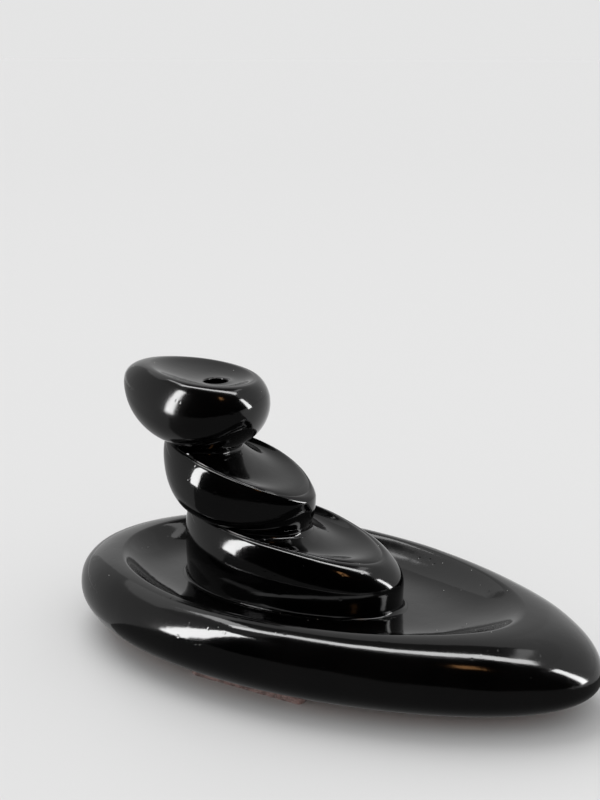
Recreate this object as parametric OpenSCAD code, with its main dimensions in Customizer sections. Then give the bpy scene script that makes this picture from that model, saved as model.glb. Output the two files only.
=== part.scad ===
/* [Dish] */
// Overall length, rear to tip
dish_length = 130; // [110:1:160]
// Overall width at the widest line
dish_width = 69; // [60:1:90]
// Height of the rim crest above the underside
dish_height = 17.3; // [15:0.1:22]
// Height of the widest line above the underside, midway
dish_girth_height = 7.8; // [6:0.1:10]
// How much lower the widest line lies at the tip than at the rear
dish_girth_fall = 3; // [0:0.1:6]
// How much narrower the tip is than the rear
dish_taper = 0.11; // [0:0.01:0.25]
// Length of the flat underside
underside_length = 104; // [90:1:106]
// Width of the flat underside
underside_width = 48.4; // [40:0.1:52]

/* [Well] */
// Length between the rim crests
well_length = 101.4; // [90:0.1:110]
// Width between the rim crests
well_width = 57.2; // [50:0.1:60]
// Depth of the well below the rim crest
well_depth = 5.7; // [5:0.1:7.5]

/* [Lower stone] */
// Overall length
lower_length = 56; // [48:0.5:62]
// Overall width
lower_width = 32.4; // [29:0.2:38]
// Height of the chute's edge above the well, midway
lower_height = 15.7; // [14:0.1:18]
// Distance of the middle of the stone from the middle of the dish, toward the tip
lower_place = -9.7; // [-14:0.1:-6]
// Length of the foot
lower_foot_length = 55; // [47:0.2:56]
// Width of the foot
lower_foot_width = 27.2; // [24:0.2:28]
// Length of the chute
lower_chute_length = 50; // [47:0.2:52]
// Width of the chute
lower_chute_width = 26.6; // [24:0.2:29]
// Fall of the chute's edge, rear to front
lower_chute_fall = 6.5; // [4:0.1:8]
// Depth of the chute's hollow
lower_chute_depth = 1.8; // [1:0.1:2.4]

/* [Middle stone] */
// Overall length
middle_length = 39.2; // [34:0.2:44]
// Overall width
middle_width = 28; // [25:0.2:30]
// Height of the chute's edge above the lower stone's, midway
middle_height = 14.8; // [13:0.1:17]
// Distance of the middle of the stone from the middle of the dish, toward the tip
middle_place = -23.6; // [-26:0.1:-22]
// Length of the foot
middle_foot_length = 29.6; // [26:0.2:32]
// Width of the foot
middle_foot_width = 20.6; // [18:0.2:22]
// Length of the chute
middle_chute_length = 36.6; // [34:0.2:38]
// Width of the chute
middle_chute_width = 23; // [20:0.2:23]
// Fall of the chute's edge, rear to front
middle_chute_fall = 9.9; // [7:0.1:11]
// Depth of the chute's hollow
middle_chute_depth = 1.6; // [0.8:0.1:2.4]

/* [Top stone] */
// Overall length
top_length = 37.8; // [32:0.2:42]
// Overall width
top_width = 26.4; // [22:0.2:30]
// Height of the dimple's edge above the middle stone's chute edge
top_height = 19.4; // [16:0.1:22]
// Distance of the middle of the stone from the middle of the dish, toward the tip
top_place = -35.6; // [-37:0.1:-33]
// Length of the foot
top_foot_length = 17.6; // [15:0.2:20]
// Width of the foot
top_foot_width = 16.2; // [14:0.2:18]
// Length of the dimple
dimple_length = 26.8; // [23:0.2:29]
// Width of the dimple
dimple_width = 19.2; // [16:0.2:22]
// Depth of the dimple
dimple_depth = 1.9; // [1:0.1:2.4]

/* [Smoke passage] */
// Diameter of the cone seat
seat_bore = 5.7; // [4.5:0.1:6.5]
// Distance of the cone seat from the middle of the dish, toward the tip
seat_place = -29.5; // [-30.5:0.1:-28.5]
// Diameter of the outlet under the top stone
outlet_bore = 3.6; // [3:0.1:4]
// Direction of the outlet, away from straight ahead
outlet_turn = 38; // [30:1:50]

/* [Joints] */
// How far each stone's foot sinks into the one below
seat_depth = 1.5; // [1:0.1:1.8]
// Size of the slip bead around the lower stone
lower_bead = 1; // [0.7:0.1:1.3]
// Size of the slip bead around the middle stone
middle_bead = 0.9; // [0.7:0.1:1.2]
// Size of the slip bead around the top stone
top_bead = 1.2; // [0.9:0.1:1.5]

/* [Pad] */
// Length of the pad along the dish
pad_length = 29; // [24:1:40]
// Width of the pad across the dish
pad_width = 53.8; // [46:0.1:56]
// Thickness of the pad
pad_thickness = 1.4; // [1:0.1:2]
// Distance of the pad's middle from the middle of the dish, toward the tip
pad_place = -6; // [-12:0.5:-2]

/* [Hidden] */

sides = 56;
flank_steps = 8;
roll_steps = 5;
hollow_steps = 7;

glaze = [0.09, 0.09, 0.1];
clay_slip = [0.2, 0.2, 0.22];
felt = [0.55, 0.42, 0.38];

underside_z = pad_thickness;
crest_z = underside_z + dish_height;
well_z = crest_z - well_depth;
lower_edge_z = well_z + lower_height;
middle_edge_z = lower_edge_z + middle_height;
top_edge_z = middle_edge_z + top_height;

// a loop is [x, y, length, width, fullness, taper, waist, z, fall, crown]; it is followed by turning t from
// the tip, fall is how much lower it lies at the tip than at the rear, and crown how far its ends droop
dish_foot = [0.2, 0, underside_length, underside_width, 0.06, dish_taper, 0.03, underside_z, 0, 0];
dish_girth = [
  0, 0, dish_length, dish_width, 0.06, dish_taper, 0.03,
  underside_z + dish_girth_height, dish_girth_fall, 0
];
dish_crest = [-2.9, 0, well_length, well_width, 0.03, 0.1, 0.03, crest_z, 0, 0];

lower_foot = [
  lower_place, 1.4, lower_foot_length, lower_foot_width, 0.03, 0.04, 0, well_z + 0.06, 0, 0
];
lower_girth = [
  lower_place, 1.4, lower_length, lower_width, 0.03, 0.04, 0, lower_edge_z - 10.2, 6, -2.5
];
lower_edge = [
  lower_place - 2.3, 1.4, lower_chute_length, lower_chute_width, 0, 0.05, 0.1,
  lower_edge_z, lower_chute_fall, 1.3
];

middle_foot = [
  middle_place + 2.6, 0.6, middle_foot_length, middle_foot_width, 0.03, 0.06, 0,
  lower_edge_z + 1, 3, 0
];
middle_girth = [
  middle_place, 0.6, middle_length, middle_width, 0.03, 0.05, 0.12, middle_edge_z - 9.8, 9, -6.5
];
middle_edge = [
  middle_place - 0.7, 0.6, middle_chute_length, middle_chute_width, 0, -0.04, 0,
  middle_edge_z, middle_chute_fall, 1.5
];

top_foot = [
  top_place + 1.8, 0, top_foot_length, top_foot_width, 0, 0.03, 0, middle_edge_z + 3.2, 1.8, 0
];
top_girth = [top_place, 0, top_length, top_width, 0, -0.18, 0, top_edge_z - 10.2, 3.5, -5.5];
top_edge = [top_place + 2, 0, dimple_length, dimple_width, 0, -0.08, 0, top_edge_z, 2.6, 0];
dimple_centre = [seat_place, 0, 0, 0, 0, 0, 0, top_edge_z - dimple_depth, 0, 0];

function loop_point(m, t) =
  let (c = cos(t), s = sin(t))
  [
    m[0] + m[2] / 2 * (c - m[4] * s * s),
    m[1] + m[3] / 2 * s * (1 - m[5] * c - m[6] * c * c),
    m[7] - m[8] / 2 * c - m[9] * c * c
  ];

// a quarter turn u of a round flank, out and up from loop a to loop b
function flank_point(a, b, t, u) =
  let (p = loop_point(a, t), q = loop_point(b, t))
  [
    p[0] + (q[0] - p[0]) * sin(u),
    p[1] + (q[1] - p[1]) * sin(u),
    p[2] + (q[2] - p[2]) * (1 - cos(u))
  ];

// a quarter turn u of the roll, up and in from loop a to loop b; sharp below 1 squares the corner, and
// lean is the share of the way in that is taken up by leaning
function roll_point(a, b, t, u, sharp, lean) =
  let (
    p = loop_point(a, t), q = loop_point(b, t), up = pow(sin(u), sharp),
    inward = lean * up * up + (1 - lean) * (1 - pow(cos(u), sharp))
  )
  [
    p[0] + (q[0] - p[0]) * inward,
    p[1] + (q[1] - p[1]) * inward,
    p[2] + (q[2] - p[2]) * up
  ];

// how high the hollow has risen at q of the way from its middle to its edge, from 0 to 1
function hollow_rise(q, power, crisp, soft, t) =
  let (e = crisp + (soft - crisp) * cos(t) * cos(t), flat = sqrt(1 + e * e))
  (flat - sqrt(pow(1 - pow(q, power), 2) + e * e)) / (flat - e);

// q of the way from the seat loop, or a point, to the edge loop, dished by depth
function hollow_point(edge, seat, t, q, depth, power, crisp, soft) =
  let (
    p = loop_point(edge, t), s = loop_point(seat, t),
    rise = hollow_rise(q, power, crisp, soft, t)
  )
  [for (i = [0:2]) s[i] + (p[i] - s[i]) * q] + [0, 0, depth * (rise - q)];

function turns(n) = [for (i = [0:n - 1]) 360 * i / n];

module loft(rings, bottom, top) {
  n = len(rings[0]);
  k = len(rings);
  points = concat([bottom], [for (r = rings) for (p = r) p], [top]);
  faces = concat(
    [for (j = [0:n - 1]) [0, 1 + j, 1 + (j + 1) % n]],
    [for (i = [0:k - 2]) for (j = [0:n - 1])
      let (a = 1 + i * n + j, b = 1 + i * n + (j + 1) % n) [a, a + n, b]],
    [for (i = [0:k - 2]) for (j = [0:n - 1])
      let (a = 1 + i * n + j, b = 1 + i * n + (j + 1) % n) [b, a + n, b + n]],
    [for (j = [0:n - 1]) [1 + k * n, 1 + (k - 1) * n + (j + 1) % n, 1 + (k - 1) * n + j]]
  );
  polyhedron(points, faces);
}

// the turn of the flank at which it has risen by rise
function bead_turn(foot, girth, t, rise) =
  acos(1 - rise / (loop_point(girth, t)[2] - loop_point(foot, t)[2]));

// the share of the hollow at which it is width away from the seat
function bead_share(edge, seat, t, width) =
  let (d = loop_point(edge, t) - loop_point(seat, t)) min(0.45, width / norm([d[0], d[1]]));

// a pebble from its foot, girth and edge loops, sunk below its foot by sink, with a hollow that runs in to
// the seat loop, where the next pebble sinks by socket; the bead at its foot climbs its flank by rise, and
// the bead around the next pebble covers width of its hollow
module pebble(foot, girth, edge, seat, sink, socket, rise, width, sharp, lean, depth, power, crisp, soft) {
  ts = turns(sides);
  skirt = [for (t = ts) loop_point(foot, t) - [0, 0, sink]];
  flank = [
    for (i = [0:flank_steps - 1]) [
      for (t = ts)
        let (u = bead_turn(foot, girth, t, rise))
        flank_point(foot, girth, t, u + (90 - u) * i / (flank_steps - 1))
    ]
  ];
  roll = [
    for (i = [1:roll_steps]) [for (t = ts) roll_point(girth, edge, t, 90 * i / roll_steps, sharp, lean)]
  ];
  hollow = [
    for (i = [1:hollow_steps]) [
      for (t = ts)
        let (b = socket > 0 ? bead_share(edge, seat, t, width) : 0)
        hollow_point(edge, seat, t, b + (1 - b) * (1 - i / hollow_steps), depth, power, crisp, soft)
    ]
  ];
  closed = [for (i = [0:hollow_steps - 2]) hollow[i]];
  socket_rings = [[for (t = ts) loop_point(seat, t)], [for (t = ts) loop_point(seat, t) - [0, 0, socket]]];
  rings = concat(
    sink > 0 ? [skirt] : [], [[for (t = ts) loop_point(foot, t)]], flank, roll,
    socket > 0 ? concat(hollow, socket_rings) : closed
  );
  loft(rings, [foot[0], foot[1], foot[7] - sink], [seat[0], seat[1], seat[7] - socket]);
}

// the bead in the corner between a pebble's foot and the hollow it stands in
module bead(foot, girth, edge, rise, width, bulge, depth, power, crisp, soft) {
  points = [
    for (t = turns(sides))
      let (
        c = loop_point(foot, t),
        a = flank_point(foot, girth, t, bead_turn(foot, girth, t, rise)),
        b = hollow_point(edge, foot, t, bead_share(edge, foot, t, width), depth, power, crisp, soft),
        d = [a[0] + b[0] - 2 * c[0], a[1] + b[1] - 2 * c[1]], out = d / norm(d)
      )
      each [c, b, (a + b) / 2 + bulge * [out[0], out[1], 0], a]
  ];
  faces = [
    for (i = [0:sides - 1]) for (j = [0:3])
      let (k = (i + 1) % sides, l = (j + 1) % 4)
      each [[4 * i + j, 4 * i + l, 4 * k + j], [4 * k + j, 4 * i + l, 4 * k + l]]
  ];
  polyhedron(points, faces);
}

module base_dish() {
  color(glaze)
    pebble(
      dish_foot, dish_girth, dish_crest, lower_foot, 0, seat_depth,
      lower_bead, lower_bead, 1, 0, well_depth, 3.5, 0.3, 0.3
    );
}

module lower_stone() {
  color(glaze)
    pebble(
      lower_foot, lower_girth, lower_edge, middle_foot, seat_depth, seat_depth,
      lower_bead, middle_bead, 0.6, 0.6, 4 * lower_chute_depth, 2, 0.07, 0.4
    );
}

module middle_stone() {
  color(glaze)
    pebble(
      middle_foot, middle_girth, middle_edge, top_foot, seat_depth, seat_depth,
      middle_bead, top_bead, 0.6, 0.6, 4 * middle_chute_depth, 2, 0.07, 0.4
    );
}

module top_body() {
  pebble(
    top_foot, top_girth, top_edge, dimple_centre, seat_depth, 0,
    top_bead / 2, 0, 0.5, 0.55, dimple_depth, 2, 0.12, 0.35
  );
}

module top_stone() {
  outlet_z = top_foot[7] + 2.4;
  bore_z = outlet_z - outlet_bore / 2;
  color(glaze)
    difference() {
      top_body();
      translate([seat_place, 0, bore_z])
        cylinder(h = top_edge_z + 5 - bore_z, d = seat_bore, $fn = 48);
      translate([seat_place, 0, outlet_z])
        rotate([0, 90, outlet_turn])
          cylinder(h = 14, d = outlet_bore, $fn = 36);
    }
}

module lower_slip_bead() {
  color(clay_slip)
    bead(
      lower_foot, lower_girth, dish_crest, lower_bead, lower_bead, 0.25,
      well_depth, 3.5, 0.3, 0.3
    );
}

module middle_slip_bead() {
  color(clay_slip)
    bead(
      middle_foot, middle_girth, lower_edge, middle_bead, middle_bead, 0.2,
      4 * lower_chute_depth, 2, 0.07, 0.4
    );
}

module top_slip_bead() {
  color(clay_slip)
    bead(
      top_foot, top_girth, middle_edge, top_bead / 2, top_bead, 0.2,
      4 * middle_chute_depth, 2, 0.07, 0.4
    );
}

module felt_pad() {
  color(felt)
    translate([pad_place - pad_length / 2, -pad_width / 2, 0])
      cube([pad_length, pad_width, pad_thickness]);
}

base_dish();
lower_stone();
middle_stone();
top_stone();
lower_slip_bead();
middle_slip_bead();
top_slip_bead();
felt_pad();
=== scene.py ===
import math
import bmesh
import bpy
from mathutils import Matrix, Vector, noise


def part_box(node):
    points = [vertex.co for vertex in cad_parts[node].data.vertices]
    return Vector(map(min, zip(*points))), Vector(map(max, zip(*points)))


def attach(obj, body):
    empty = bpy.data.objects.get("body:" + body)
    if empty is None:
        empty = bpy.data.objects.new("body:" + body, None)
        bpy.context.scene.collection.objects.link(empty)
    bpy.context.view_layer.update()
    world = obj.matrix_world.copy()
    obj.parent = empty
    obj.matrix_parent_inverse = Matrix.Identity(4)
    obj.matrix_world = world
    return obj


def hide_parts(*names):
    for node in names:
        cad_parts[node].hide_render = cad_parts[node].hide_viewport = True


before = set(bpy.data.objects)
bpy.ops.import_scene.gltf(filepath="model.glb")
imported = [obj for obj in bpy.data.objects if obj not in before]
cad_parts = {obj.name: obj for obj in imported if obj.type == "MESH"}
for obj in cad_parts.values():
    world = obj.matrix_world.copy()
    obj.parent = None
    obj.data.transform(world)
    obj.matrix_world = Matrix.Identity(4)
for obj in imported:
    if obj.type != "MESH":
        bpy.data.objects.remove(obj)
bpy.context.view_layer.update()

millimetre = 0.001
print("burner: frame loaded")


class Wire:  # a socket that can be added, multiplied and so on
    def __init__(self, board, socket):
        self.board, self.socket = board, socket

    def __add__(self, other):
        return self.board.maths("ADD", self, other)

    __radd__ = __add__

    def __sub__(self, other):
        return self.board.maths("SUBTRACT", self, other)

    def __rsub__(self, other):
        return self.board.maths("SUBTRACT", other, self)

    def __mul__(self, other):
        return self.board.maths("MULTIPLY", self, other)

    __rmul__ = __mul__

    def __truediv__(self, other):
        return self.board.maths("DIVIDE", self, other)

    def __rtruediv__(self, other):
        return self.board.maths("DIVIDE", other, self)

    def __pow__(self, other):
        return self.board.maths("POWER", self, other)


class Board:  # a node tree, for glazes and for shapes alike
    def __init__(self, tree):
        self.tree = tree

    def node(self, kind, settings=None, values=None, out=0):
        made = self.tree.nodes.new(kind)
        for name, value in (settings or {}).items():
            if name == "stops":
                ramp = made.color_ramp.elements
                while len(ramp) < len(value):
                    ramp.new(1.0)
                for element, (place, tone) in zip(ramp, value):
                    element.position, element.color = place, (tone, tone, tone, 1)
            else:
                setattr(made, name, value)
        for name, value in (values or {}).items():
            if isinstance(value, Wire):
                self.tree.links.new(value.socket, made.inputs[name])
            else:
                made.inputs[name].default_value = value
        return Wire(self, made.outputs[out]) if made.outputs else None

    def maths(self, operation, *terms):
        return self.node("ShaderNodeMath", {"operation": operation}, dict(enumerate(terms)))

    def root(self, value):
        return self.maths("SQRT", value)

    def least(self, one, other):
        return self.maths("MINIMUM", one, other)

    def most(self, one, other):
        return self.maths("MAXIMUM", one, other)

    def between(self, value, low, high):  # 0 below low, 1 above high
        return self.node("ShaderNodeMapRange", {"clamp": True}, {
            "Value": value, "From Min": low, "From Max": high, "To Min": 0.0, "To Max": 1.0})

    def smooth(self, value, low, high):
        return self.node("ShaderNodeMapRange", {"clamp": True, "interpolation_type": "SMOOTHSTEP"}, {
            "Value": value, "From Min": low, "From Max": high, "To Min": 0.0, "To Max": 1.0})

    def blend(self, share, one, other):  # colours
        return self.node("ShaderNodeMix", {"data_type": "RGBA"}, {0: share, 6: one, 7: other}, 2)


# Loops: every pebble is drawn through a few closed loops, which share one formula

loopSizes = ["x", "y", "length", "width", "fullness", "taper", "waist", "z", "fall", "crown"]
loopNames = ["foot", "girth", "edge", "seat"]


def boxOf(node):
    low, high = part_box(node)
    return [v / millimetre for v in low], [v / millimetre for v in high]


def middleOf(node):  # the middle of a node's box in plan, and its lowest point
    low, high = boxOf(node)
    return [(low[0] + high[0]) / 2, (low[1] + high[1]) / 2, low[2]]


def newTree(name, entries):
    tree = bpy.data.node_groups.new(name, "GeometryNodeTree")
    tree.interface.new_socket("Geometry", in_out="OUTPUT", socket_type="NodeSocketGeometry")
    for entry in entries:
        kind = "NodeSocketInt" if entry in ["rings", "sides"] else "NodeSocketFloat"
        tree.interface.new_socket(entry, in_out="INPUT", socket_type=kind)
    return tree, Board(tree), tree.nodes.new("NodeGroupInput")


def endTree(board, mesh, material):
    mesh = board.node("GeometryNodeMergeByDistance", None, {"Geometry": mesh, "Distance": 1e-6})
    mesh = board.node("GeometryNodeSetShadeSmooth", None, {"Geometry": mesh, "Shade Smooth": True})
    mesh = board.node("GeometryNodeRealizeInstances", None, {"Geometry": mesh})
    mesh = board.node("GeometryNodeSetMaterial", None, {"Geometry": mesh, "Material": material})
    leave = board.tree.nodes.new("NodeGroupOutput")
    board.tree.links.new(mesh.socket, leave.inputs[0])


def loopMaths(board, size, name, c, s):  # the loop formula, as nodes
    cc, ss = c * c, s * s
    return [
        size(f"{name} x") + size(f"{name} length") / 2 * (c - size(f"{name} fullness") * ss),
        size(f"{name} y") + size(f"{name} width") / 2 * s * (
            1 - size(f"{name} taper") * c - size(f"{name} waist") * cc),
        size(f"{name} z") - size(f"{name} fall") / 2 * c - size(f"{name} crown") * cc]


def hollowRise(board, q, power, crisp, soft, c):  # 0 in the middle of the hollow, 1 at its crest
    ease = crisp + (soft - crisp) * c * c
    flat = board.root(1 + ease * ease)
    reach = 1 - board.most(q, 0.0) ** power
    return (flat - board.root(reach * reach + ease * ease)) / (flat - ease)


def gridMaths(board, size):  # a grid, with how far along it and which turn around it each point is
    grid = board.node("GeometryNodeMeshGrid", None, {
        "Size X": 1.0, "Size Y": 1.0, "Vertices X": size("rings"), "Vertices Y": size("sides")})
    split = board.node("ShaderNodeSeparateXYZ", None, {0: board.node("GeometryNodeInputPosition")})
    turn = (Wire(board, split.socket.node.outputs["Y"]) + 0.5) * (2 * math.pi)
    return grid, split + 0.5, board.maths("COSINE", turn), board.maths("SINE", turn)


def placeGrid(board, grid, x, y, z, push=None):
    place = board.node("ShaderNodeCombineXYZ", None, {0: x, 1: y, 2: z})
    if push:
        place = board.node("ShaderNodeVectorMath", {"operation": "ADD"}, {0: place, 1: push(place)})
    place = board.node("ShaderNodeVectorMath", {"operation": "SCALE"}, {0: place, "Scale": millimetre})
    return board.node("GeometryNodeSetPosition", None, {"Geometry": grid, "Position": place})


shapeSizes = [
    "sink", "socket", "mouth", "steepness", "sharpness", "lean",
    "hollow depth", "hollow power", "crisp", "soft", "unevenness"]
loopEntries = [f"{loopName} {sizeName}" for loopName in loopNames for sizeName in loopSizes]


def pebbleTree(material):
    tree, board, entry = newTree("pebble loft", loopEntries + shapeSizes + ["rings", "sides"])

    def size(name):
        return Wire(board, entry.outputs[name])

    grid, along, c, s = gridMaths(board, size)
    foot, girth, edge, seat = [loopMaths(board, size, name, c, s) for name in loopNames]
    start = [size("foot x"), size("foot y"), size("foot z")]
    centre = [size("seat x"), size("seat y"), size("seat z")]
    # the profile runs underside, skirt, flank, roll, hollow, mouth, socket wall, socket floor
    marks = [0.0, 0.05, 0.07, 0.30, 0.46, 0.88, 0.91, 0.96, 1.0]
    under, skirt, flank, roll, hollow, mouth, wall, floor = [
        board.between(along, low, high) for low, high in zip(marks, marks[1:])]
    quarter = math.pi / 2
    flankOut = board.maths("SINE", flank * quarter) ** size("steepness")
    flankUp = 1 - board.maths("COSINE", flank * quarter)
    rollUp = board.maths("SINE", roll * quarter) ** size("sharpness")
    rollIn = rollUp * rollUp * size("lean") + (1 - size("lean")) * (
        1 - board.most(board.maths("COSINE", roll * quarter), 0.0) ** size("sharpness"))
    mouthIn = board.maths("SINE", mouth * quarter) * size("mouth")
    mouthDown = (1 - board.maths("COSINE", mouth * quarter)) * size("mouth") * size("seat length") / 2
    q = 1 - hollow ** 1.5  # rings crowd together at the crest
    rise = hollowRise(board, q, size("hollow power"), size("crisp"), size("soft"), c)
    x, y = [
        start[i] + (foot[i] - start[i]) * under + (girth[i] - foot[i]) * flankOut
        + (edge[i] - girth[i]) * rollIn + (seat[i] - edge[i]) * (1 - q)
        + (centre[i] - seat[i]) * (mouthIn + (1 - size("mouth")) * floor)
        for i in range(2)]
    z = (
        start[2] - size("sink") + (foot[2] - start[2]) * under + size("sink") * skirt
        + (girth[2] - foot[2]) * flankUp + (edge[2] - girth[2]) * rollUp
        + (seat[2] - edge[2]) * (1 - q) + size("hollow depth") * (rise - q)
        - mouthDown - size("socket") * wall + (centre[2] - seat[2]) * floor)
    shown = board.smooth(along, 0.14, 0.28) * (1 - board.smooth(along, 0.7, 0.85))

    def push(place):  # hands never leave a pebble quite even
        ripple = board.node("ShaderNodeTexNoise", {"noise_dimensions": "3D"}, {
            "Vector": place, "Scale": 0.055, "Detail": 1.0, "Roughness": 0.4}, "Color")
        offset = board.node("ShaderNodeVectorMath", {"operation": "SUBTRACT"}, {
            0: ripple, 1: (0.5, 0.5, 0.5)})
        return board.node("ShaderNodeVectorMath", {"operation": "SCALE"}, {
            0: offset, "Scale": shown * size("unevenness")})

    mesh = placeGrid(board, grid, x, y, z, push)
    mesh = board.node("GeometryNodeFlipFaces", None, {"Mesh": mesh})
    endTree(board, mesh, material)
    return tree


def filletTree(material):  # slip smoothed between a pebble's foot and the hollow below it
    names = [f"{loopName} {sizeName}" for loopName in loopNames[:3] for sizeName in loopSizes]
    tree, board, entry = newTree("slip fillet", names + [
        "hollow depth", "hollow power", "crisp", "soft",
        "climb", "spread", "tuck", "steepness", "unevenness", "rings", "sides"])

    def size(name):
        return Wire(board, entry.outputs[name])

    grid, along, c, s = gridMaths(board, size)
    foot, girth, edge = [loopMaths(board, size, name, c, s) for name in loopNames[:3]]
    # the slip was wiped by a finger, so it is wider in some places than in others
    wander = board.node("ShaderNodeTexNoise", {"noise_dimensions": "3D"}, {
        "Vector": board.node("ShaderNodeCombineXYZ", None, {0: c, 1: s, 2: size("climb")}),
        "Scale": 1.6, "Detail": 1.0})
    fuller = 1 + (wander - 0.5) * size("unevenness")
    rise = girth[2] - foot[2]
    lift = 1 - size("climb") * fuller / rise  # the cosine of the flank's turn there
    outward = board.root(1 - lift * lift) ** size("steepness")
    high = [foot[i] + (girth[i] - foot[i]) * outward for i in range(2)] + [foot[2] + rise * (1 - lift)]
    gap = board.root((edge[0] - foot[0]) ** 2 + (edge[1] - foot[1]) ** 2)
    q = board.least(size("spread") * fuller / gap, 0.45)
    dished = size("hollow depth") * (
        hollowRise(board, q, size("hollow power"), size("crisp"), size("soft"), c) - q)
    low = [foot[i] + (edge[i] - foot[i]) * q for i in range(3)]
    low[2] = low[2] + dished
    # the section runs corner, out along the hollow, up the smoothed face, back along the flank
    marks = [0.0, 0.1, 0.9, 1.0]
    out, face, back = [board.between(along, near, far) for near, far in zip(marks, marks[1:])]
    bends = [foot[i] + (low[i] - foot[i]) * size("tuck") for i in range(3)]
    places = []
    for i in range(3):
        curve = low[i] * (1 - face) * (1 - face) + bends[i] * 2 * face * (1 - face) + high[i] * face * face
        places.append(foot[i] * (1 - out) + curve * (out - back) + foot[i] * back)
    endTree(board, placeGrid(board, grid, *places), material)
    return tree


def growPiece(name, tree, values):  # runs a tree once and keeps its plain mesh
    holder = bpy.data.objects.new(f"{name}_grower", bpy.data.meshes.new(f"{name}_empty"))
    bpy.context.scene.collection.objects.link(holder)
    modifier = holder.modifiers.new("loft", "NODES")
    modifier.node_group = tree
    for item in tree.interface.items_tree:
        if item.in_out == "INPUT":
            modifier[item.identifier] = values[item.name]
    mesh = bpy.data.meshes.new_from_object(holder.evaluated_get(bpy.context.evaluated_depsgraph_get()))
    bpy.data.objects.remove(holder)
    mesh.name = name
    piece = bpy.data.objects.new(name, mesh)
    bpy.context.scene.collection.objects.link(piece)
    return piece


def loopValues(shape, origin):  # a piece's loops by name, moved to where its node is
    values = {}
    places = [origin[0], origin[1], 0, 0, 0, 0, 0, origin[2], 0, 0]
    for loopName in loopNames:
        for sizeName, value, place in zip(loopSizes, shape[loopName], places):
            values[f"{loopName} {sizeName}"] = float(value + place)
    return values


def declare(piece, node):
    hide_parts(node)
    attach(piece, "root")


# Glaze and felt

def newMaterial(name):
    material = bpy.data.materials.new(name)
    material.use_nodes = True
    material.node_tree.nodes.clear()
    return material, Board(material.node_tree)


def glazeMaterial(name, sizes):
    material, board = newMaterial(name)
    place = board.node("ShaderNodeTexCoord", None, None, "Object")

    def cloud(scale, detail=2.0, roughness=0.5):
        return board.node("ShaderNodeTexNoise", None, {
            "Vector": place, "Scale": scale, "Detail": detail, "Roughness": roughness})

    def dots(scale, size, share):  # round dots, in only some of the cells
        cell = board.node("ShaderNodeTexVoronoi", None, {
            "Vector": place, "Scale": scale, "Randomness": 1.0})
        hue = Wire(board, cell.socket.node.outputs["Color"])
        chosen = 1 - board.smooth(hue, share - 0.001, share + 0.001)
        return (1 - board.smooth(cell, size * 0.5, size)) * chosen

    height = Wire(board, board.node("ShaderNodeSeparateXYZ", None, {0: place}).socket.node.outputs["Z"])
    upward = Wire(board, board.node("ShaderNodeSeparateXYZ", None, {
        0: board.node("ShaderNodeNewGeometry", None, None, "Normal")}).socket.node.outputs["Z"])
    dust = dots(sizes["dustScale"], sizes["dustSize"], sizes["dustShare"]) * board.smooth(upward, 0.2, 0.7)
    pits = dots(sizes["pitScale"], sizes["pitSize"], sizes["pitShare"])
    patches = board.smooth(cloud(sizes["patchScale"]), 0.42, 0.68)
    shade = board.blend(patches, (*sizes["colour"], 1), (*sizes["patchColour"], 1))
    shade = board.blend(dust * 0.75, shade, (*sizes["dustColour"], 1))
    relief = (
        cloud(sizes["waveScale"]) * sizes["waveHeight"] + cloud(sizes["peelScale"]) * sizes["peelHeight"]
        - pits * sizes["pitDepth"] + dust * 0.02)
    bump = board.node("ShaderNodeBump", None, {"Strength": 1.0, "Distance": millimetre, "Height": relief})
    roughness = sizes["roughness"] + patches * sizes["patchRoughness"] + dust * 0.5
    gloss = board.node("ShaderNodeBsdfPrincipled", None, {
        "Base Color": shade, "Roughness": roughness, "IOR": 1.5, "Specular IOR Level": 0.42,
        "Normal": bump}, "BSDF")
    # glaze is wiped off the bottom before firing, and the clay there is brown
    grain = cloud(sizes["grainScale"], 4.0, 0.7)
    clayBump = board.node("ShaderNodeBump", None, {"Strength": 0.6, "Distance": 0.0002, "Height": grain})
    clay = board.node("ShaderNodeBsdfPrincipled", None, {
        "Base Color": board.blend(grain, (*sizes["clayDark"], 1), (*sizes["clayLight"], 1)),
        "Roughness": 0.75, "Normal": clayBump}, "BSDF")
    edge = height / millimetre + (cloud(sizes["wipeScale"], 3.0) - 0.5) * sizes["wipeWander"]
    bare = 1 - board.smooth(edge, sizes["wipedTo"] - 0.5, sizes["wipedTo"] + 0.5)
    both = board.node("ShaderNodeMixShader", None, {0: bare, 1: gloss, 2: clay})
    board.node("ShaderNodeOutputMaterial", None, {"Surface": both})
    return material


def feltMaterial(sizes):
    material, board = newMaterial("brown felt")
    place = board.node("ShaderNodeTexCoord", None, None, "Object")
    coarse = board.node("ShaderNodeTexNoise", None, {"Vector": place, "Scale": 700.0, "Detail": 3.0})
    fine = board.node("ShaderNodeTexNoise", None, {
        "Vector": place, "Scale": 2600.0, "Detail": 3.0, "Roughness": 0.7})
    fleck = board.smooth(fine, 0.52, 0.66)
    shade = board.blend(board.smooth(coarse, 0.35, 0.65), (*sizes["dark"], 1), (*sizes["light"], 1))
    shade = board.blend(fleck * 0.5, shade, (*sizes["fleck"], 1))
    bump = board.node("ShaderNodeBump", None, {
        "Strength": 0.8, "Distance": 0.0003, "Height": coarse + fine * 0.6})
    shader = board.node("ShaderNodeBsdfPrincipled", None, {
        "Base Color": shade, "Roughness": 0.9, "Sheen Weight": 0.3, "Sheen Roughness": 0.5,
        "Normal": bump}, "BSDF")
    board.node("ShaderNodeOutputMaterial", None, {"Surface": shader})
    return material


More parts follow.
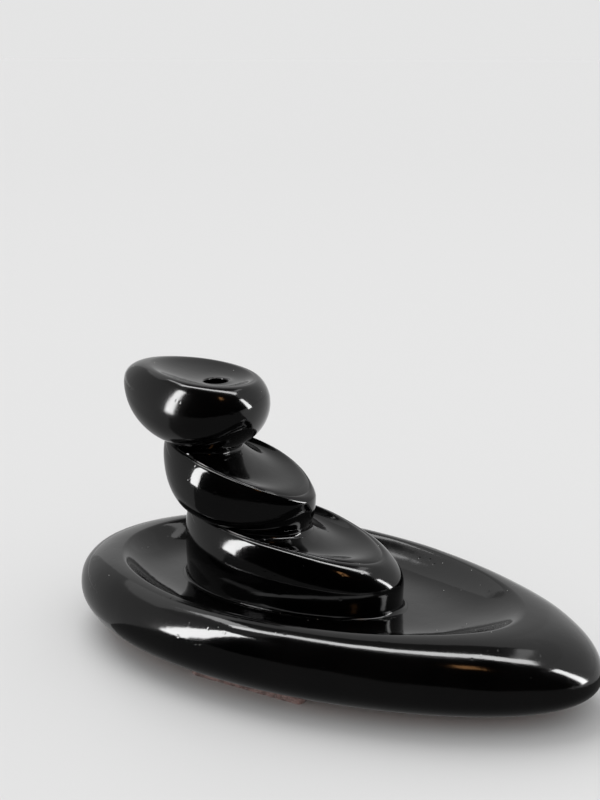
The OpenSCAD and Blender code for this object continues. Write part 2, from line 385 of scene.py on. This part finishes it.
glazeSizes = {
    "colour": (0.0005, 0.0005, 0.0006), "patchColour": (0.0014, 0.0012, 0.0012), "patchScale": 45.0,
    "roughness": 0.075, "patchRoughness": 0.05, "waveScale": 160.0, "waveHeight": 0.05,
    "peelScale": 1100.0, "peelHeight": 0.004,
    "pitScale": 700.0, "pitSize": 0.32, "pitShare": 0.25, "pitDepth": 0.012,
    "dustScale": 420.0, "dustSize": 0.06, "dustShare": 0.45, "dustColour": (0.5, 0.5, 0.48),
    "clayDark": (0.13, 0.05, 0.03), "clayLight": (0.3, 0.15, 0.1), "grainScale": 1500.0,
    "wipedTo": 2.6, "wipeScale": 60.0, "wipeWander": 1.6}
feltSizes = {"dark": (0.12, 0.07, 0.06), "light": (0.3, 0.18, 0.16), "fleck": (0.6, 0.48, 0.45)}
slipSizes = {**glazeSizes, "roughness": 0.06}
dishGlazeSizes = {**glazeSizes, "roughness": 0.13}
shoulderGlazeSizes = {**glazeSizes, "roughness": 0.12}
glaze = glazeMaterial("black glaze", glazeSizes)
dishGlaze = glazeMaterial("black dish glaze", dishGlazeSizes)
shoulderGlaze = glazeMaterial("black shoulder glaze", shoulderGlazeSizes)
slip = glazeMaterial("glazed slip", slipSizes)
felt = feltMaterial(feltSizes)

# The four pebbles

pebbleLoft = pebbleTree(glaze)

dishShape = {
    "foot": [0.2, 0, 104, 48.4, 0.06, 0.11, 0.03, 0, 0, 0],
    "girth": [0, 0, 130, 69, 0.06, 0.11, 0.03, 7.8, 3, 0],
    "edge": [-2.9, 0, 101.4, 57.2, 0.03, 0.1, 0.03, 17.3, 0, 0],
    "seat": [-9.7, 1.4, 55, 27.2, 0.03, 0.04, 0, 11.66, 0, 0],
    "sink": 0, "socket": 1.5, "mouth": 0, "steepness": 1.2, "sharpness": 1, "lean": 0,
    "hollow depth": 5.7, "hollow power": 3.5, "crisp": 0.3, "soft": 0.3,
    "unevenness": 0.5, "rings": 201, "sides": 241}
lowerShape = {
    "foot": [0, 0, 55, 27.2, 0.03, 0.04, 0, 1.5, 0, 0],
    "girth": [0, 0, 56, 32.4, 0.03, 0.04, 0, 6.94, 6, -2.5],
    "edge": [-2.3, 0, 50, 26.6, 0, 0.05, 0.1, 17.14, 6.5, 1.3],
    "seat": [-11.3, -0.8, 29.6, 20.6, 0.03, 0.06, 0, 18.14, 3, 0],
    "sink": 1.5, "socket": 1.5, "mouth": 0, "steepness": 0.55, "sharpness": 0.6, "lean": 0.6,
    "hollow depth": 7.2, "hollow power": 2, "crisp": 0.12, "soft": 0.4,
    "unevenness": 0.5, "rings": 201, "sides": 193}
middleShape = {
    "foot": [2.6, 0, 29.6, 20.6, 0.03, 0.06, 0, 3, 3, 0],
    "girth": [0, 0, 39.2, 28, 0.03, 0.05, 0.12, 7.0, 9, -6.5],
    "edge": [-0.7, 0, 36.6, 23, 0, -0.04, 0, 16.8, 9.9, 1.5],
    "seat": [-10.2, -0.6, 17.6, 16.2, 0, 0.03, 0, 20, 1.8, 0],
    "sink": 1.5, "socket": 1.5, "mouth": 0, "steepness": 1.05, "sharpness": 0.6, "lean": 0.6,
    "hollow depth": 6.4, "hollow power": 2, "crisp": 0.12, "soft": 0.4,
    "unevenness": 0.4, "rings": 201, "sides": 193}
topShape = {
    "foot": [1.8, 0, 17.6, 16.2, 0, 0.03, 0, 2.4, 1.8, 0],
    "girth": [0, 0, 37.8, 26.4, 0, -0.18, 0, 8.4, 3.5, -5.5],
    "edge": [2, 0, 26.8, 19.2, 0, -0.08, 0, 18.6, 2.6, 0],
    "seat": [6.1, 0, 6.4, 6.4, 0, 0, 0, 16.7, 0, 0],
    "sink": 1.5, "socket": 13.7, "mouth": 0.12, "steepness": 1.2, "sharpness": 0.5, "lean": 0.55,
    "hollow depth": 1.9, "hollow power": 2, "crisp": 0.12, "soft": 0.35,
    "unevenness": 0.4, "rings": 201, "sides": 193}

outletSizes = {"height": 4.8, "across": 3.6, "turned": 38, "reach": 14, "sides": 48}


def drillOutlet(piece, origin, shape, sizes):  # the smoke's way out, from the bore through the far side
    bore, turn = shape["seat"], math.radians(sizes["turned"])
    along = Vector((math.cos(turn), math.sin(turn), 0))
    start = Vector((origin[0] + bore[0], origin[1] + bore[1], origin[2] + sizes["height"]))
    drill = bmesh.new()
    bmesh.ops.create_cone(
        drill, cap_ends=True, segments=sizes["sides"], depth=sizes["reach"],
        radius1=sizes["across"] / 2, radius2=sizes["across"] / 2)
    aim = along.to_track_quat("Z", "Y").to_matrix().to_4x4()
    aim.translation = start + along * sizes["reach"] / 2
    drill.transform(aim)
    bmesh.ops.scale(drill, vec=[millimetre] * 3, verts=drill.verts)
    data = bpy.data.meshes.new("outlet_drill")
    drill.to_mesh(data)
    drill.free()
    data.materials.append(piece.data.materials[0])
    cutter = bpy.data.objects.new("outlet_drill", data)
    bpy.context.scene.collection.objects.link(cutter)
    cut = piece.modifiers.new("outlet", "BOOLEAN")
    cut.operation, cut.solver, cut.object = "DIFFERENCE", "MANIFOLD", cutter
    drilled = bpy.data.meshes.new_from_object(piece.evaluated_get(bpy.context.evaluated_depsgraph_get()))
    piece.modifiers.remove(cut)
    piece.data = drilled
    bpy.data.objects.remove(cutter)


shapes = {
    "base_dish": dishShape, "lower_stone": lowerShape, "middle_stone": middleShape, "top_stone": topShape}
finishes = {"base_dish": dishGlaze, "lower_stone": shoulderGlaze, "middle_stone": glaze, "top_stone": glaze}
for node, shape in shapes.items():
    pebble = growPiece(f"{node}_glazed", pebbleLoft, {**shape, **loopValues(shape, middleOf(node))})
    if node == "top_stone":
        drillOutlet(pebble, middleOf(node), shape, outletSizes)
    pebble.data.materials[0] = finishes[node]
    declare(pebble, node)
    print("pebble", node, len(pebble.data.polygons), "faces")

# Slip fillets: each sits on the foot of one pebble and the hollow of the pebble below

filletSizes = {
    "lower_slip_bead": {"climb": 1.1, "spread": 1.9, "tuck": 0.3, "unevenness": 0.5},
    "middle_slip_bead": {"climb": 1.1, "spread": 1.7, "tuck": 0.3, "unevenness": 0.6},
    "top_slip_bead": {"climb": 0.9, "spread": 1.7, "tuck": 0.3, "unevenness": 0.5}}
filletPairs = {  # the pebble above and the one below
    "lower_slip_bead": ("lower_stone", "base_dish"), "middle_slip_bead": ("middle_stone", "lower_stone"),
    "top_slip_bead": ("top_stone", "middle_stone")}
slipFillet = filletTree(slip)
for node, (upper, below) in filletPairs.items():
    values = loopValues(shapes[upper], middleOf(upper))
    lowerValues = loopValues(shapes[below], middleOf(below))
    values.update({name: lowerValues[name] for name in lowerValues if name.startswith("edge ")})
    hollow = {name: shapes[below][name] for name in ["hollow depth", "hollow power", "crisp", "soft"]}
    fillet = growPiece(f"{node}_smoothed", slipFillet, {
        **values, **hollow, **filletSizes[node], "steepness": shapes[upper]["steepness"],
        "rings": 41, "sides": 193})
    declare(fillet, node)
    print("fillet", node, len(fillet.data.polygons), "faces")

# Felt pad

padSizes = {"cornerRadius": 1.2, "raggedness": 0.2, "edgePoints": 480, "layers": 8, "rings": 24}


def feltPad(node, sizes):
    low, high = boxOf(node)
    middle = [(a + b) / 2 for a, b in zip(low, high)]
    half = [(b - a) / 2 - sizes["raggedness"] for a, b in zip(low, high)]
    mesh = bmesh.new()
    corner = sizes["cornerRadius"]

    def outline(turn):  # a rectangle with round corners
        c, s = math.cos(turn), math.sin(turn)
        reach = min(half[0] / max(abs(c), 1e-6), half[1] / max(abs(s), 1e-6))
        x, y = c * reach, s * reach
        overX, overY = abs(x) - (half[0] - corner), abs(y) - (half[1] - corner)
        if overX > 0 and overY > 0:
            cut = math.hypot(overX, overY)
            if cut > corner:
                x = math.copysign(half[0] - corner + overX * corner / cut, x)
                y = math.copysign(half[1] - corner + overY * corner / cut, y)
        return x, y

    def fluffed(x, y, z, edge):
        point = Vector((x, y, z))
        ragged = noise.noise(point * 1.1) * 0.6 + noise.noise(point * 3.7) * 0.4
        out = Vector((x / half[0], y / half[1], 0)).normalized() * ragged * sizes["raggedness"] * edge
        return (Vector(middle) + point + out) * millimetre

    thick = high[2] - low[2]
    profile = [(i / sizes["rings"], -0.5) for i in range(1, sizes["rings"])]
    profile += [(1.0, i / sizes["layers"] - 0.5) for i in range(sizes["layers"] + 1)]
    profile += [(i / sizes["rings"], 0.5) for i in range(sizes["rings"] - 1, 0, -1)]
    loops = []
    for share, level in profile:
        loop = []
        for k in range(sizes["edgePoints"]):
            x, y = outline(2 * math.pi * k / sizes["edgePoints"])
            inset = 1 - 0.006 * (2 * level) ** 4 if share == 1.0 else share
            point = fluffed(x * inset, y * inset, level * thick, 1.0 if share > 0.97 else 0.0)
            loop.append(mesh.verts.new(point))
        loops.append(loop)
    count = sizes["edgePoints"]
    for one, other in zip(loops, loops[1:]):
        for k in range(count):
            mesh.faces.new([one[k], one[(k + 1) % count], other[(k + 1) % count], other[k]])
    for loop, z in [(loops[0], -thick / 2), (loops[-1], thick / 2)]:
        pole = mesh.verts.new((Vector(middle) + Vector((0, 0, z))) * millimetre)
        for k in range(count):
            mesh.faces.new([loop[k], loop[(k + 1) % count], pole])
    bmesh.ops.recalc_face_normals(mesh, faces=mesh.faces)
    data = bpy.data.meshes.new("felt_pad_cut")
    mesh.to_mesh(data)
    mesh.free()
    data.materials.append(felt)
    data.shade_smooth()
    piece = bpy.data.objects.new("felt_pad_cut", data)
    bpy.context.scene.collection.objects.link(piece)
    return piece


pad = feltPad("felt_pad", padSizes)
declare(pad, "felt_pad")
print("felt pad", len(pad.data.polygons), "faces")

# Camera

viewSizes = {"place": (0.12417, -0.2325, 0.13437), "downward": 15.69, "leftward": 29.42, "lens": 55.48}
camera = bpy.data.objects.new("camera", bpy.data.cameras.new("camera"))
camera.location = viewSizes["place"]
camera.rotation_euler = (math.radians(90 - viewSizes["downward"]), 0, math.radians(viewSizes["leftward"]))
camera.data.lens = viewSizes["lens"]
camera.data.sensor_fit = "VERTICAL"
camera.data.sensor_height = 36
camera.data.clip_start = 0.01
bpy.context.scene.collection.objects.link(camera)
bpy.context.scene.camera = camera

# Floor and light: a pale tent with a dark front, two upright lamps and a lamp frame overhead

tentSizes = {
    "wall": 0.78, "floor near": 0.69, "floor far": 0.68, "near to": 0.25, "far from": 1.6, "floor reach": 30,
    "front": 29.42, "centre": 0.035, "overhead": 1.0}
standingSizes = {  # around from the front and height, in degrees, and how bright
    "dark": {"bottom": (-64, 70), "top": (-50, 46), "height": (-2, 62), "distance": 1.2, "tone": 0.0},
    "left lamp": {
        "bottom": (-77, -67), "top": (-63, -53), "height": (-6, 34), "distance": 0.9, "tone": 24.0},
    "right lamp": {"bottom": (74, 84), "top": (54, 62), "height": (-8, 34), "distance": 0.6, "tone": 24.0},
    "left wall": {
        "bottom": (-150, -64), "top": (-150, -54), "height": (-2, 36), "distance": 1.4, "tone": 0.5},
    "left brow": {"bottom": (-98, -54), "top": (-98, -48), "height": (36, 62), "distance": 1.4, "tone": 0.42},
    "left back": {
        "bottom": (-150, -98), "top": (-150, -98), "height": (36, 60), "distance": 1.4, "tone": 1.1},
    "right wall": {"bottom": (100, 155), "top": (60, 155), "height": (5, 45), "distance": 1.4, "tone": 0.85},
    "warm glint": {"bottom": (9, 16), "top": (9, 16), "height": (38, 45), "distance": 1.1, "tone": 4.5}}
nearSizes = {  # the shaded floor toward the camera, as the glaze mirrors it
    "x": (-0.06, 0.065), "spread": (-2.6, 1.1), "deep": 1.1, "tone": 0.14}
overheadSizes = {  # corners across and deep from the front, and how bright
    "top bar": ([(-0.78, -0.28), (0.7, -0.46), (0.6, -0.25), (-0.7, -0.1)], 16.0),
    "top left arm": ([(-0.72, -0.12), (-0.52, -0.14), (-0.52, 0.3), (-0.72, 0.3)], 6.5),
    "top right arm": ([(0.42, -0.22), (0.54, -0.24), (0.54, 0.25), (0.42, 0.25)], 2.6),
    "top opening": ([(-0.52, -0.14), (0.42, -0.22), (0.42, 0.3), (-0.52, 0.3)], 0.16)}
lampSizes = {"from": (-0.62, 0.36, 0.88), "spread": 50, "strength": 1.5}


def glowing(name, tone):
    material, board = newMaterial(name)
    colour = (1, 0.5, 0.2, 1) if name == "warm glint" else (1, 1, 1, 1)
    glow = board.node("ShaderNodeEmission", None, {"Color": colour, "Strength": tone})
    board.node("ShaderNodeOutputMaterial", None, {"Surface": glow})
    return material


def addCard(name, points, faces, tone):  # a card that only glazes mirror
    data = bpy.data.meshes.new(name)
    data.from_pydata(points, [], faces)
    data.materials.append(glowing(name, tone))
    card = bpy.data.objects.new(name.replace(" ", "_"), data)
    bpy.context.scene.collection.objects.link(card)
    card.visible_camera = card.visible_diffuse = card.visible_shadow = False
    return card


def aimed(around, height, distance):  # a direction from the object, around from the front
    turn = math.radians(around + tentSizes["front"] - 90)
    rise = math.radians(height)
    level = math.cos(rise)
    return Vector((level * math.cos(turn), level * math.sin(turn), math.sin(rise))) * distance


def standingCard(name, sizes, steps=16):
    points, faces = [], []
    for i in range(steps + 1):
        for j in range(steps + 1):
            low, high = sizes["height"]
            left, right = [
                below + (above - below) * j / steps for below, above in zip(sizes["bottom"], sizes["top"])]
            around, height = left + (right - left) * i / steps, low + (high - low) * j / steps
            points.append(aimed(around, height, sizes["distance"]) + Vector((0, 0, tentSizes["centre"])))
    for i in range(steps):
        for j in range(steps):
            k = i * (steps + 1) + j
            faces.append([k, k + 1, k + steps + 2, k + steps + 1])
    return addCard(name, points, faces, sizes["tone"])


def flatCard(name, corners, height, tone):  # corners are across and deep, as seen from the front
    turn = math.radians(tentSizes["front"])
    c, s = math.cos(turn), math.sin(turn)
    points = [(across * c - deep * s, across * s + deep * c, height) for across, deep in corners]
    return addCard(name, points, [[0, 1, 2, 3]], tone)


for name, sizes in standingSizes.items():
    standingCard(name, sizes)
for name, (corners, tone) in overheadSizes.items():
    flatCard(name, corners, tentSizes["overhead"], tone)
(left, right), deep = nearSizes["x"], -nearSizes["deep"]
leftDeep, rightDeep = [x - spread * deep for x, spread in zip(nearSizes["x"], nearSizes["spread"])]
flatCard(
    "left floor", [(left, 0.3), (left, 0), (leftDeep, deep), (-3.0, 0.8)],
    0.2 * millimetre, standingSizes["left wall"]["tone"])
flatCard(
    "near floor", [(leftDeep, deep), (rightDeep, deep), (right, 0), (left, 0)],
    0.3 * millimetre, nearSizes["tone"])

floorMesh = bpy.data.meshes.new("floor")
far = tentSizes["floor reach"]
floorMesh.from_pydata([(-far, -far, 0), (far, -far, 0), (far, far, 0), (-far, far, 0)], [], [[0, 1, 2, 3]])
floorMaterial, floorBoard = newMaterial("pale paper")
# painted light: the floor's tone changes with distance from the object, from the near tone to the far tone,
# set to even out how brightly it is lit near and far
away = floorBoard.node("ShaderNodeVectorMath", {"operation": "LENGTH"}, {
    0: floorBoard.node("ShaderNodeTexCoord", None, None, "Object")}, "Value")
nearTone, farTone = [(*[tentSizes[name]] * 3, 1) for name in ["floor near", "floor far"]]
floorShare = floorBoard.smooth(away, tentSizes["near to"], tentSizes["far from"])
floorShader = floorBoard.node("ShaderNodeBsdfPrincipled", None, {
    "Base Color": floorBoard.blend(floorShare, nearTone, farTone),
    "Roughness": 0.9, "Specular IOR Level": 0.1}, "BSDF")
floorBoard.node("ShaderNodeOutputMaterial", None, {"Surface": floorShader})
floorMesh.materials.append(floorMaterial)
floor = bpy.data.objects.new("floor", floorMesh)
bpy.context.scene.collection.objects.link(floor)

softLamp = bpy.data.objects.new("soft_lamp", bpy.data.lights.new("soft_lamp", "SUN"))
softLamp.data.angle = math.radians(lampSizes["spread"])
softLamp.data.energy = lampSizes["strength"]
softLamp.rotation_euler = Vector(lampSizes["from"]).to_track_quat("Z", "Y").to_euler()
softLamp.visible_glossy = False
bpy.context.scene.collection.objects.link(softLamp)

world = bpy.data.worlds.new("studio")
bpy.context.scene.world = world
world.use_nodes = True
world.node_tree.nodes["Background"].inputs["Color"].default_value = (*[tentSizes["wall"]] * 3, 1)
bpy.context.scene.view_settings.view_transform = "Standard"
print("camera, floor and lights are in place")
